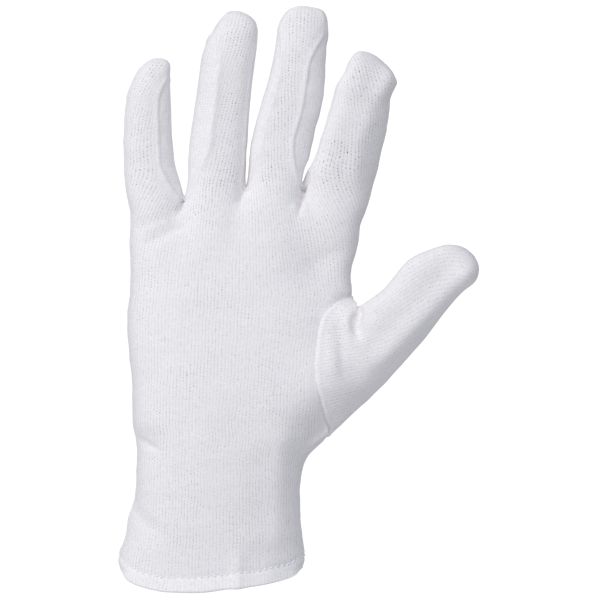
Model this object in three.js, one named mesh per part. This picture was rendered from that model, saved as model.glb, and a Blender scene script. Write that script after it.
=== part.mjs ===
// A knitted cotton work glove for the right hand, hollow, with the shape that it has when worn.
// Millimetres. +Z runs from the cuff to the fingertips, the palm faces -Y and the thumb is at +X.
// The origin is the middle of the opening at the cuff, where the hand goes in.
import * as THREE from "three";

// Driving dimensions
const clothThickness = 1.2;
const seamGap = 0.3;
const hemDepth = 6.5;
const hemThickness = 2.4;
const hemFlareWidth = 0.8;
const bodyHeight = 152;
const cuff = { width: 77, thickness: 34 };
const wrist = { width: 67, thickness: 38 };
const palmThickness = 33;
const thumbOpening = { baseHeight: 57.5, height: 59, palmWidth: 22, backWidth: 15 };
const foldDepth = 2;
const foldWidth = 4;

// Each finger: its sizes, its lean from upright, its twist about its own length, the share of its
// width that it takes at the root, and where its seams lie, in degrees from the middle of the palm
// side. An outer side has no side strip, so its seam is at 90.
const fingers = [
  { name: "little", length: 63.2, width: 19.3, thickness: 16, lean: 0.2, twist: 0, rootShare: 1.21,
    seamLeft: 90, seamRight: 30, tipLeft: 90, tipRight: 80 },
  { name: "ring", length: 79.1, width: 22.6, thickness: 17.5, lean: 6.1, twist: 0, rootShare: 1.07,
    seamLeft: 20, seamRight: 72, tipLeft: 50, tipRight: 95 },
  { name: "middle", length: 82.3, width: 23.8, thickness: 18, lean: 8.9, twist: 4, rootShare: 0.97,
    seamLeft: 45, seamRight: 24, tipLeft: 80, tipRight: 70 },
  { name: "index", length: 69.6, width: 25, thickness: 18.5, lean: 12, twist: 17, rootShare: 0.98,
    seamLeft: 72, seamRight: 90, tipLeft: 90, tipRight: 90 },
];
const thumb = { name: "thumb", length: 71.4, width: 25.5, thickness: 21, lean: 51.5, twist: 14 };

// Sections of each digit from its root to its tip. along is a share of the length, width and
// depth of the digit's width and thickness. side and ahead move the section's middle across the
// palm, as a share of the width, and towards the palm side, as a share of the length.
const digitSections = {
  little: [
    { along: 0.0, width: 1.21, depth: 1.26, side: 0.0, ahead: 0.0 },
    { along: 0.1, width: 1.19, depth: 1.16, side: -0.075, ahead: 0.0 },
    { along: 0.2, width: 1.144, depth: 1.1, side: -0.136, ahead: 0.003 },
    { along: 0.28, width: 1.104, depth: 1.07, side: -0.18, ahead: 0.01 },
    { along: 0.44, width: 1.04, depth: 1.03, side: -0.212, ahead: 0.025 },
    { along: 0.6, width: 0.998, depth: 0.98, side: -0.218, ahead: 0.05 },
    { along: 0.75, width: 0.93, depth: 0.93, side: -0.206, ahead: 0.075 },
    { along: 0.83, width: 0.83, depth: 0.86, side: -0.168, ahead: 0.09 },
    { along: 0.88, width: 0.76, depth: 0.78, side: -0.132, ahead: 0.097 },
    { along: 0.924, width: 0.68, depth: 0.68, side: -0.08, ahead: 0.102 },
    { along: 0.96, width: 0.53, depth: 0.53, side: -0.03, ahead: 0.105 },
    { along: 0.987, width: 0.32, depth: 0.32, side: -0.006, ahead: 0.105 },
    { along: 1.0, width: 0.0, depth: 0.0, side: -0.01, ahead: 0.105 },
  ],
  ring: [
    { along: 0.0, width: 1.07, depth: 1.24, side: 0.0, ahead: 0.0 },
    { along: 0.06, width: 1.055, depth: 1.16, side: -0.012, ahead: 0.0 },
    { along: 0.2, width: 1.06, depth: 1.07, side: -0.058, ahead: 0.004 },
    { along: 0.28, width: 1.05, depth: 1.04, side: -0.076, ahead: 0.007 },
    { along: 0.44, width: 1.022, depth: 1.01, side: -0.075, ahead: 0.017 },
    { along: 0.6, width: 0.975, depth: 0.98, side: -0.07, ahead: 0.03 },
    { along: 0.75, width: 0.967, depth: 0.94, side: -0.056, ahead: 0.045 },
    { along: 0.81, width: 0.945, depth: 0.9, side: -0.042, ahead: 0.052 },
    { along: 0.86, width: 0.86, depth: 0.84, side: -0.002, ahead: 0.058 },
    { along: 0.91, width: 0.79, depth: 0.72, side: 0.034, ahead: 0.063 },
    { along: 0.95, width: 0.66, depth: 0.56, side: 0.042, ahead: 0.065 },
    { along: 0.987, width: 0.37, depth: 0.32, side: 0.012, ahead: 0.066 },
    { along: 1.0, width: 0.0, depth: 0.0, side: -0.01, ahead: 0.066 },
  ],
  middle: [
    { along: 0.0, width: 0.97, depth: 1.22, side: 0.0, ahead: 0.0 },
    { along: 0.06, width: 0.965, depth: 1.15, side: 0.0, ahead: 0.0 },
    { along: 0.2, width: 1.04, depth: 1.07, side: -0.012, ahead: 0.004 },
    { along: 0.32, width: 1.046, depth: 1.02, side: -0.018, ahead: 0.009 },
    { along: 0.44, width: 1.034, depth: 1.0, side: 0.018, ahead: 0.016 },
    { along: 0.52, width: 1.01, depth: 1.0, side: 0.042, ahead: 0.023 },
    { along: 0.6, width: 0.982, depth: 0.98, side: 0.064, ahead: 0.03 },
    { along: 0.68, width: 0.942, depth: 0.96, side: 0.06, ahead: 0.036 },
    { along: 0.76, width: 0.906, depth: 0.92, side: 0.052, ahead: 0.044 },
    { along: 0.83, width: 0.892, depth: 0.87, side: 0.042, ahead: 0.05 },
    { along: 0.88, width: 0.89, depth: 0.8, side: 0.044, ahead: 0.055 },
    { along: 0.924, width: 0.83, depth: 0.68, side: 0.046, ahead: 0.057 },
    { along: 0.96, width: 0.71, depth: 0.52, side: 0.064, ahead: 0.058 },
    { along: 0.987, width: 0.5, depth: 0.32, side: 0.09, ahead: 0.058 },
    { along: 1.0, width: 0.0, depth: 0.0, side: 0.12, ahead: 0.058 },
  ],
  index: [
    { along: 0.0, width: 0.98, depth: 1.2, side: 0.0, ahead: 0.0 },
    { along: 0.06, width: 1.0, depth: 1.15, side: 0.008, ahead: 0.0 },
    { along: 0.16, width: 1.05, depth: 1.09, side: 0.022, ahead: 0.004 },
    { along: 0.28, width: 1.056, depth: 1.03, side: 0.038, ahead: 0.012 },
    { along: 0.44, width: 1.018, depth: 0.99, side: 0.062, ahead: 0.027 },
    { along: 0.56, width: 0.99, depth: 0.97, side: 0.081, ahead: 0.04 },
    { along: 0.68, width: 0.953, depth: 0.94, side: 0.084, ahead: 0.052 },
    { along: 0.75, width: 0.922, depth: 0.9, side: 0.08, ahead: 0.059 },
    { along: 0.81, width: 0.89, depth: 0.85, side: 0.11, ahead: 0.064 },
    { along: 0.85, width: 0.86, depth: 0.79, side: 0.142, ahead: 0.067 },
    { along: 0.88, width: 0.815, depth: 0.73, side: 0.128, ahead: 0.069 },
    { along: 0.924, width: 0.69, depth: 0.62, side: 0.088, ahead: 0.071 },
    { along: 0.96, width: 0.52, depth: 0.48, side: 0.042, ahead: 0.072 },
    { along: 0.987, width: 0.3, depth: 0.3, side: 0.002, ahead: 0.072 },
    { along: 1.0, width: 0.0, depth: 0.0, side: -0.02, ahead: 0.072 },
  ],
  thumb: [
    { along: 0.26, width: 1.21, depth: 1.2, side: 0.02, ahead: 0.095 },
    { along: 0.34, width: 1.14, depth: 1.14, side: 0.01, ahead: 0.125 },
    { along: 0.42, width: 1.075, depth: 1.08, side: 0.0, ahead: 0.15 },
    { along: 0.5, width: 1.035, depth: 1.03, side: -0.03, ahead: 0.175 },
    { along: 0.59, width: 1.03, depth: 1.0, side: -0.088, ahead: 0.2 },
    { along: 0.67, width: 1.015, depth: 0.98, side: -0.138, ahead: 0.22 },
    { along: 0.76, width: 0.94, depth: 0.95, side: -0.152, ahead: 0.24 },
    { along: 0.82, width: 0.865, depth: 0.89, side: -0.134, ahead: 0.25 },
    { along: 0.87, width: 0.84, depth: 0.82, side: -0.112, ahead: 0.256 },
    { along: 0.91, width: 0.765, depth: 0.72, side: -0.086, ahead: 0.261 },
    { along: 0.95, width: 0.62, depth: 0.56, side: -0.07, ahead: 0.264 },
    { along: 0.985, width: 0.36, depth: 0.32, side: -0.058, ahead: 0.265 },
    { along: 1.0, width: 0.0, depth: 0.0, side: -0.05, ahead: 0.265 },
  ],
};

// The knuckles are as wide as the roots of the four fingers side by side.
const palm = {
  width: fingers.reduce((sum, finger) => sum + finger.width * finger.rootShare, 0),
  thickness: palmThickness,
};

// Sections of the hand from the cuff to the knuckles. height is a share of bodyHeight. width and
// shift are shares of the width that the row follows, front and back of its thickness, and
// square is how flat the section is, from 2 for an ellipse.
const bodySections = [
  { height: -0.05, follows: cuff, width: 1.0, shift: 0.0, front: 0.5, back: 0.5, square: 2.2 },
  { height: 0.04, follows: cuff, width: 0.998, shift: 0.0, front: 0.5, back: 0.5, square: 2.2 },
  { height: 0.07, follows: cuff, width: 0.985, shift: 0.005, front: 0.49, back: 0.49, square: 2.2 },
  { height: 0.1, follows: wrist, width: 1.095, shift: 0.012, front: 0.46, back: 0.48, square: 2.2 },
  { height: 0.17, follows: wrist, width: 1.046, shift: 0.018, front: 0.48, back: 0.5, square: 2.2 },
  { height: 0.2, follows: wrist, width: 1.02, shift: 0.03, front: 0.49, back: 0.5, square: 2.25 },
  { height: 0.23, follows: wrist, width: 1.0, shift: 0.037, front: 0.5, back: 0.5, square: 2.3 },
  { height: 0.3, follows: wrist, width: 1.018, shift: 0.052, front: 0.52, back: 0.5, square: 2.4 },
  { height: 0.36, follows: palm, width: 0.773, shift: 0.065, front: 0.62, back: 0.56, square: 2.5 },
  { height: 0.385, follows: palm, width: 0.836, shift: 0.088, front: 0.63, back: 0.55, square: 2.5 },
  { height: 0.43, follows: palm, width: 0.867, shift: 0.094, front: 0.63, back: 0.53, square: 2.6 },
  { height: 0.525, follows: palm, width: 0.901, shift: 0.108, front: 0.61, back: 0.5, square: 2.7 },
  { height: 0.62, follows: palm, width: 0.936, shift: 0.114, front: 0.57, back: 0.47, square: 2.8 },
  { height: 0.71, follows: palm, width: 0.96, shift: 0.119, front: 0.53, back: 0.45, square: 2.8 },
  { height: 0.77, follows: palm, width: 0.959, shift: 0.127, front: 0.5, back: 0.44, square: 2.8 },
  { height: 0.82, follows: palm, width: 0.948, shift: 0.127, front: 0.46, back: 0.43, square: 2.8 },
  { height: 0.88, follows: palm, width: 0.976, shift: 0.137, front: 0.43, back: 0.42, square: 2.7 },
  { height: 0.95, follows: palm, width: 0.996, shift: 0.147, front: 0.4, back: 0.4, square: 2.6 },
  { height: 1.0, follows: palm, width: 1.0, shift: 0.148, front: 0.38, back: 0.39, square: 2.6 },
];

// Where the fingers part, from the little finger's side to the index finger's. height is a share
// of bodyHeight, and crotch is how far the strip between two fingers arches up, in its thickness.
const partings = [
  { height: 0.982, crotch: 0 },
  { height: 1.0, crotch: 0.3 },
  { height: 1.028, crotch: 0.32 },
  { height: 0.995, crotch: 0.6 },
  { height: 0.954, crotch: 0 },
];

// The thumb's seam: how far it reaches round the palm, as a share of the opening's reach, from
// the wrist end at 0 to the end between thumb and index finger at 1.
const thumbSeam = [
  { height: 0.0, reach: 0.0 },
  { height: 0.12, reach: 0.52 },
  { height: 0.27, reach: 0.77 },
  { height: 0.42, reach: 0.93 },
  { height: 0.57, reach: 1.0 },
  { height: 0.76, reach: 0.97 },
  { height: 0.87, reach: 0.88 },
  { height: 0.95, reach: 0.62 },
  { height: 1.0, reach: 0.0 },
];

// The hem's lower edge: turn in degrees round the cuff from the middle of the palm side, and how
// far the edge lies above the opening's middle, as a share of hemDepth.
const hemEdge = [
  { turn: -180, rise: 0.3 },
  { turn: -90, rise: 0.42 },
  { turn: -60, rise: -0.42 },
  { turn: -38, rise: -0.8 },
  { turn: -10, rise: -0.84 },
  { turn: 14, rise: -0.62 },
  { turn: 36, rise: -0.46 },
  { turn: 62, rise: -0.06 },
  { turn: 90, rise: 0.48 },
  { turn: 180, rise: 0.3 },
];

// Main folds and dents. x and z are shares of the palm's width and of bodyHeight, deep is a
// share of foldDepth, below 0 where the cloth stands up, and wide a share of foldWidth.
const folds = [
  { on: "palm", fromX: -0.12, fromZ: 0.985, toX: -0.32, toZ: 0.915, deep: 0.75, wide: 0.9 },
  { on: "palm", fromX: -0.2, fromZ: 1.0, toX: -0.33, toZ: 0.95, deep: -0.3, wide: 0.9 },
  { on: "palm", fromX: 0.44, fromZ: 0.87, toX: 0.5, toZ: 0.8, deep: 0.7, wide: 2.6 },
  { on: "palm", fromX: 0.62, fromZ: 0.895, toX: 0.5, toZ: 0.875, deep: 0.5, wide: 0.9 },
  { on: "palm", fromX: -0.35, fromZ: 0.385, toX: -0.27, toZ: 0.365, deep: 0.8, wide: 1.2 },
  { on: "palm", fromX: -0.37, fromZ: 0.21, toX: -0.26, toZ: 0.14, deep: 0.5, wide: 1.1 },
  { on: "palm", fromX: -0.1, fromZ: 0.42, toX: 0.3, toZ: 0.36, deep: 0.35, wide: 2.4 },
  { on: "thumb", fromX: 0.625, fromZ: 0.75, toX: 0.63, toZ: 0.675, deep: 1.3, wide: 0.75 },
  { on: "thumb", fromX: 0.575, fromZ: 0.75, toX: 0.615, toZ: 0.66, deep: -0.5, wide: 0.8 },
  { on: "thumb", fromX: 0.56, fromZ: 0.68, toX: 0.6, toZ: 0.56, deep: 0.7, wide: 0.9 },
  { on: "back", fromX: -0.05, fromZ: 0.3, toX: 0.35, toZ: 0.27, deep: 0.6, wide: 1.6 },
  { on: "back", fromX: 0.3, fromZ: 0.8, toX: 0.5, toZ: 0.72, deep: 0.6, wide: 1.8 },
];

// How finely the cloth is divided
const columnsPerFinger = 5;
const stripColumns = 3;
const fingerRows = 15;
const rowCrowding = 1.6;
const wristRows = 9;
const openingRows = 11;
const knuckleRows = 6;
const thumbRootRows = 6;
const thumbRows = 10;
const hemSteps = 6;
const arcSamples = 72;
const seamSamples = 60;
const squeezePower = 2;

// Seams of a finger at its root and on its back, in degrees from the nearest flat side
const rootSeamAngle = 65;
const backSeamAngle = 52;
const digitSquareness = 2.3;
const seamSettledAt = 0.3;
const seamLeavesAt = 0.72;
const crotchFadesAt = 0.34;
const twistSettlesAt = 0.3;

const radians = THREE.MathUtils.degToRad;
const mix = THREE.MathUtils.lerp;
const ease = THREE.MathUtils.smoothstep;
const bodyColumns = fingers.length * columnsPerFinger;
const stripEndRow = fingerRows - 3;
const thumbRing = 2 * openingRows;
const fullTurn = 360;

// A smooth curve through one column of a table, which never swings past its rows
function read(rows, place, column, at) {
  const last = rows.length - 1;
  if (at <= rows[0][place]) return rows[0][column];
  if (at >= rows[last][place]) return rows[last][column];
  const i = rows.findIndex((row, k) => k < last && at < rows[k + 1][place]);
  const slope = (k) =>
    (rows[k + 1][column] - rows[k][column]) / (rows[k + 1][place] - rows[k][place]);
  const bend = (k) => {
    if (k === 0) return slope(0);
    if (k === last) return slope(last - 1);
    const before = slope(k - 1);
    const after = slope(k);
    return before * after <= 0 ? 0 : (2 * before * after) / (before + after);
  };
  const span = rows[i + 1][place] - rows[i][place];
  const s = (at - rows[i][place]) / span;
  return (
    rows[i][column] * (1 + 2 * s) * (1 - s) ** 2 +
    rows[i + 1][column] * s * s * (3 - 2 * s) +
    bend(i) * span * s * (1 - s) ** 2 -
    bend(i + 1) * span * s * s * (1 - s)
  );
}

// A sine or cosine drawn out towards the corners of a rounded box
const squared = (value, square) => Math.sign(value) * Math.abs(value) ** (2 / square);

// Points at given shares of the length of a path
function pointsAlong(path, shares) {
  const reached = [0];
  path.slice(1).forEach((p, i) => reached.push(reached[i] + p.distanceTo(path[i])));
  const whole = reached.at(-1);
  return shares.map((share) => {
    const goal = share * whole;
    const i = Math.max(1, reached.findIndex((r) => r >= goal - 1e-9));
    const s = (goal - reached[i - 1]) / (reached[i] - reached[i - 1]);
    return path[i - 1].clone().lerp(path[i], s);
  });
}

function pathLength(path) {
  return path.slice(1).reduce((sum, p, i) => sum + p.distanceTo(path[i]), 0);
}

// Half of the hand's section at a height, from the little finger's side to the thumb's.
// facing is -1 for the palm and 1 for the back.
function bodyArc(height, facing) {
  const value = (column) => read(bodySections, "height", column, height);
  const sized = (share, size) =>
    read(
      bodySections.map((row) => ({ height: row.height, mm: row[share] * row.follows[size] })),
      "height",
      "mm",
      height,
    );
  const half = sized("width", "width") / 2;
  const middle = sized("shift", "width");
  const depth = sized(facing < 0 ? "front" : "back", "thickness");
  const square = value("square");
  return Array.from({ length: arcSamples + 1 }, (_, i) => {
    const turn = (Math.PI * i) / arcSamples;
    return new THREE.Vector3(
      middle - half * squared(Math.cos(turn), square),
      facing * depth * squared(Math.sin(turn), square),
      height * bodyHeight,
    );
  });
}

// The root of each finger, between its two partings
function placeFingers() {
  const knuckles = bodySections.at(-1);
  let left = knuckles.shift * palm.width - palm.width / 2;
  fingers.forEach((finger, i) => {
    const width = finger.width * finger.rootShare;
    const height = (partings[i].height + partings[i + 1].height) / 2;
    finger.root = new THREE.Vector3(left + width / 2, 0, height * bodyHeight);
    finger.crotch = { left: partings[i].crotch, right: partings[i + 1].crotch };
    left += width;
  });
}

// A point on a digit's skin: share of its length, and angle in degrees from the palm side,
// which grows towards the thumb's side
function digitPoint(digit, share, angle) {
  const value = (column) => read(digitSections[digit.name], "along", column, share);
  const lean = radians(digit.lean);
  const axis = new THREE.Vector3(Math.sin(lean), 0, Math.cos(lean));
  const across = new THREE.Vector3(Math.cos(lean), 0, -Math.sin(lean));
  const halfWidth = (value("width") * digit.width) / 2;
  const halfDepth = (value("depth") * digit.thickness) / 2;
  const sideways = squared(Math.sin(radians(angle)), digitSquareness);
  const forward = squared(Math.cos(radians(angle)), digitSquareness);
  const point = digit.root.clone();
  point.addScaledVector(axis, share * digit.length);
  point.addScaledVector(across, value("side") * digit.width + sideways * halfWidth);
  point.y -= value("ahead") * digit.length + forward * halfDepth;
  const turned = Math.tan(radians(digit.twist)) * ease(share, 0, twistSettlesAt);
  point.y += sideways * halfWidth * turned;
  if (digit.crotch) {
    const arch = sideways > 0 ? digit.crotch.right : digit.crotch.left;
    const fade = 1 - ease(share, 0, crotchFadesAt);
    point.z += arch * digit.thickness * fade * Math.sin(radians(angle)) ** 4;
  }
  return point;
}

// Where a finger's palm panel or back panel ends, in degrees from the palm side
function seamAngle(finger, side, facing, share) {
  const sign = side === "left" ? -1 : 1;
  const palmSeam = side === "left" ? finger.seamLeft : finger.seamRight;
  const tip = side === "left" ? finger.tipLeft : finger.tipRight;
  const outer = palmSeam === 90;
  if (outer) return sign * 90;
  const root = facing < 0 ? rootSeamAngle : 180 - rootSeamAngle;
  const settled = facing < 0 ? palmSeam : 180 - backSeamAngle;
  const stripEnd = rowShare(stripEndRow);
  const low = mix(root, settled, ease(share, 0, seamSettledAt));
  return sign * mix(low, tip, ease(share, seamLeavesAt, stripEnd));
}

const rowShare = (row) => 1 - (1 - row / fingerRows) ** rowCrowding;

function meanOf(...points) {
  const sum = points.reduce((total, p) => total.add(p), new THREE.Vector3());
  return sum.divideScalar(points.length);
}

// A row of one finger's palm panel, back panel or side strip, from left to right on the palm
// side. Back rows run from left to right too, seen from the palm.
function fingerRow(index, row, part) {
  const finger = fingers[index];
  const share = rowShare(row);
  const angle = (side, facing) => seamAngle(finger, side, facing, share);
  const spread = (from, to, count) =>
    Array.from({ length: count + 1 }, (_, i) =>
      digitPoint(finger, share, mix(from, to, i / count)),
    );
  if (part === "palm") return spread(angle("left", -1), angle("right", -1), columnsPerFinger);
  if (part === "back") {
    const left = angle("left", 1);
    return spread(left, angle("right", 1) - fullTurn, columnsPerFinger);
  }
  return spread(angle(part, -1), angle(part, 1), stripColumns);
}

// The row where two fingers part: the right side of one and the left side of the next, halved
function partingRow(index) {
  const right = fingerRow(index, 0, "right");
  const left = fingerRow(index + 1, 0, "left");
  return right.map((p, i) => meanOf(p, left[i]));
}

// The top row of the palm's or back's grid, across all four fingers
function rootRow(facing) {
  const part = facing < 0 ? "palm" : "back";
  const row = fingers.flatMap((_, i) => {
    const points = fingerRow(i, 0, part);
    if (i > 0) points[0] = partingRow(i - 1).at(facing < 0 ? 0 : -1);
    return i < fingers.length - 1 ? points.slice(0, -1) : points;
  });
  return row;
}

// Shares of the arc at which the columns run, so that they flow into the fingers
function columnShares(facing) {
  const arc = bodyArc(1, facing);
  const whole = pathLength(arc);
  const knots = [0];
  const row = rootRow(facing);
  for (let i = 1; i < fingers.length; i++) {
    const x = row[i * columnsPerFinger].x;
    const cut = arc.findIndex((p) => p.x > x);
    knots.push(pathLength(arc.slice(0, cut)) / whole);
  }
  knots.push(1);
  return Array.from({ length: bodyColumns + 1 }, (_, column) => {
    const knot = Math.min(Math.floor(column / columnsPerFinger), fingers.length - 1);
    return mix(knots[knot], knots[knot + 1], column / columnsPerFinger - knot);
  });
}

const shares = { palm: null, back: null };

// Heights of the rows beside the thumb's opening, evenly spaced along its seam
function openingHeights() {
  const seam = Array.from({ length: seamSamples + 1 }, (_, i) => {
    const height = i / seamSamples;
    const reach = read(thumbSeam, "height", "reach", height) * thumbOpening.palmWidth;
    return new THREE.Vector3(reach, height * thumbOpening.height, 0);
  });
  const steps = Array.from({ length: openingRows + 1 }, (_, i) => i / openingRows);
  return pointsAlong(seam, steps).map((p) => p.y / thumbOpening.height);
}

// A row of the palm's or back's grid, counted up from the hem
function bodyRow(row, facing) {
  const columns = facing < 0 ? shares.palm : shares.back;
  const openingLow = thumbOpening.baseHeight / bodyHeight;
  const openingHigh = (thumbOpening.baseHeight + thumbOpening.height) / bodyHeight;
  if (row <= wristRows) {
    const s = row / wristRows;
    return columns.map((share) => {
      const turn = facing < 0 ? mix(-90, 90, share) : 180 - mix(-90, 90, share);
      const low = (hemHeight(turn) + hemDepth) / bodyHeight;
      return pointsAlong(bodyArc(mix(low, openingLow, s), facing), [share])[0];
    });
  }
  if (row <= wristRows + openingRows) {
    const s = openingHeights()[row - wristRows];
    const arc = bodyArc(mix(openingLow, openingHigh, s), facing);
    const reach = facing < 0 ? thumbOpening.palmWidth : thumbOpening.backWidth;
    const cut = (reach * read(thumbSeam, "height", "reach", s)) / pathLength(arc);
    return pointsAlong(arc, columns.map((share) => share - cut * share ** squeezePower));
  }
  const s = (row - wristRows - openingRows) / knuckleRows;
  const roots = rootRow(facing);
  return columns.map((share, i) => {
    const height = mix(openingHigh, roots[i].z / bodyHeight, s);
    const plain = pointsAlong(bodyArc(Math.min(height, 1), facing), [share])[0];
    plain.z = height * bodyHeight;
    return plain.lerp(roots[i], s ** 3);
  });
}

function hemHeight(turn) {
  const wrapped = ((turn + 540) % fullTurn) - 180;
  return read(hemEdge, "turn", "rise", wrapped) * hemDepth;
}

// The thumb's rows, from the seam round its root to its tip
function thumbPoints(loop) {
  const start = digitSections.thumb[0].along;
  const angles = loop.map((_, i) => (fullTurn * i) / thumbRing - 90);
  const rows = [loop];
  const first = angles.map((angle) => digitPoint(thumb, start, angle));
  const next = angles.map((angle) => digitPoint(thumb, start + 0.08, angle));
  for (let row = 1; row < thumbRootRows; row++) {
    const s = row / thumbRootRows;
    rows.push(
      loop.map((p, i) => {
        const reach = p.distanceTo(first[i]);
        const leave = first[i].clone().sub(p);
        const arrive = next[i].clone().sub(first[i]).setLength(reach);
        return new THREE.Vector3()
          .addScaledVector(p, (1 + 2 * s) * (1 - s) ** 2)
          .addScaledVector(leave, s * (1 - s) ** 2)
          .addScaledVector(first[i], s * s * (3 - 2 * s))
          .addScaledVector(arrive, -s * s * (1 - s));
      }),
    );
  }
  for (let row = 0; row <= thumbRows; row++) {
    const share = mix(start, 1, 1 - (1 - row / thumbRows) ** rowCrowding);
    rows.push(angles.map((angle) => digitPoint(thumb, share, angle)));
  }
  return rows;
}

// The glove's whole skin: shared points, and the panels as lists of faces on them
class Skin {
  constructor() {
    this.points = [];
    this.byPlace = new Map();
    this.panels = new Map();
  }

  id(point) {
    const key = point.toArray().map((v) => Math.round(v * 1e3)).join();
    if (!this.byPlace.has(key)) {
      this.byPlace.set(key, this.points.length);
      this.points.push(point.clone());
    }
    return this.byPlace.get(key);
  }

  // Adds a grid of rows to a panel. flip turns its faces round.
  addGrid(panel, rows, flip = false) {
    const ids = rows.map((row) => row.map((p) => this.id(p)));
    if (!this.panels.has(panel)) this.panels.set(panel, []);
    const faces = this.panels.get(panel);
    for (let i = 0; i + 1 < ids.length; i++)
      for (let j = 0; j + 1 < ids[i].length; j++) {
        const corners = [ids[i][j], ids[i][j + 1], ids[i + 1][j + 1], ids[i + 1][j]];
        const [a, b, c, d] = flip ? corners.reverse() : corners;
        for (const face of [[a, b, c], [a, c, d]])
          if (new Set(face).size === 3) faces.push(face);
      }
  }

  normals() {
    const normals = this.points.map(() => new THREE.Vector3());
    const side = new THREE.Vector3();
    for (const faces of this.panels.values())
      for (const face of faces) {
        const [a, b, c] = face.map((id) => this.points[id]);
        const across = side.subVectors(c, a).clone();
        const normal = new THREE.Vector3().subVectors(b, a).cross(across);
        face.forEach((id) => normals[id].add(normal));
      }
    return normals.map((n) => n.normalize());
  }
}

// Pushes the cloth in or out along the folds
function foldSkin(skin) {
  const normals = skin.normals();
  const usedBy = new Map();
  for (const [panel, faces] of skin.panels)
    for (const id of faces.flat())
      usedBy.set(id, (usedBy.get(id) ?? new Set()).add(panel.split("_")[0]));
  skin.points.forEach((point, id) => {
    let push = 0;
    for (const fold of folds) {
      if (!usedBy.get(id).has(fold.on)) continue;
      const from = new THREE.Vector3(fold.fromX * palm.width, 0, fold.fromZ * bodyHeight);
      const to = new THREE.Vector3(fold.toX * palm.width, 0, fold.toZ * bodyHeight);
      const flat = new THREE.Vector3(point.x, 0, point.z);
      const nearest = new THREE.Line3(from, to).closestPointToPoint(flat, true, new THREE.Vector3());
      const away = nearest.distanceTo(flat) / (fold.wide * foldWidth);
      const faced = fold.on === "back" ? 1 : -1;
      const facing = Math.max(0, faced * normals[id].y);
      push += fold.deep * foldDepth * Math.exp(-away * away) * facing;
    }
    point.addScaledVector(normals[id], -push);
  });
}

// A panel as a closed solid: the skin's faces, the same faces one cloth thickness inside, and
// a rim. Its edge is drawn back from the seam by half of the gap.
function panelGeometry(skin, normals, faces) {
  const edges = new Map();
  for (const [a, b, c] of faces)
    for (const [from, to] of [[a, b], [b, c], [c, a]]) edges.set(from + "," + to, [from, to]);
  const rim = [...edges.values()].filter(([from, to]) => !edges.has(to + "," + from));
  const inward = new Map();
  for (const [from, to] of rim) {
    const along = skin.points[to].clone().sub(skin.points[from]).normalize();
    for (const id of [from, to]) {
      const into = normals[id].clone().cross(along).normalize();
      inward.set(id, (inward.get(id) ?? new THREE.Vector3()).add(into));
    }
  }
  const outer = new Map();
  const inner = new Map();
  const position = [];
  const place = (point) => position.push(...point.toArray()) / 3 - 1;
  for (const id of new Set(faces.flat())) {
    const point = skin.points[id].clone();
    if (inward.has(id)) point.addScaledVector(inward.get(id).normalize(), seamGap / 2);
    outer.set(id, place(point));
    inner.set(id, place(point.addScaledVector(normals[id], -clothThickness)));
  }
  const index = [];
  for (const [a, b, c] of faces) {
    index.push(outer.get(a), outer.get(b), outer.get(c));
    index.push(inner.get(c), inner.get(b), inner.get(a));
  }
  // Both panels at a seam split a rim quad along the same diagonal, so that they stay apart
  for (const [from, to] of rim) {
    const quad = [outer.get(to), outer.get(from), inner.get(from), inner.get(to)];
    if (from > to) quad.push(quad.shift());
    index.push(quad[0], quad[1], quad[2], quad[0], quad[2], quad[3]);
  }
  const geometry = new THREE.BufferGeometry();
  geometry.setAttribute("position", new THREE.Float32BufferAttribute(position, 3));
  geometry.setIndex(index);
  return geometry;
}

// The turned hem: a ring whose section is a doubled cloth with a rounded fold below
function hemGeometry(ring, normals) {
  const down = new THREE.Vector3(0, 0, -1);
  const round = hemThickness / 2;
  const profile = [{ drop: seamGap, inside: 0 }];
  for (let i = 0; i <= hemSteps; i++) {
    const turn = (Math.PI * i) / hemSteps;
    profile.push({
      drop: hemDepth - round + round * Math.sin(turn),
      inside: round - round * Math.cos(turn),
    });
  }
  profile.push({ drop: seamGap, inside: hemThickness });
  const position = [];
  const index = [];
  ring.forEach((point, i) => {
    for (const { drop, inside } of profile) {
      const outside = (hemFlareWidth * drop) / hemDepth - inside;
      const corner = point.clone().addScaledVector(down, drop).addScaledVector(normals[i], outside);
      position.push(...corner.toArray());
    }
    for (let j = 0; j < profile.length; j++) {
      const a = i * profile.length + j;
      const b = i * profile.length + ((j + 1) % profile.length);
      const step = (((i + 1) % ring.length) - i) * profile.length;
      index.push(a, b, b + step, a, b + step, a + step);
    }
  });
  const geometry = new THREE.BufferGeometry();
  geometry.setAttribute("position", new THREE.Float32BufferAttribute(position, 3));
  geometry.setIndex(index);
  return geometry;
}

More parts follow.
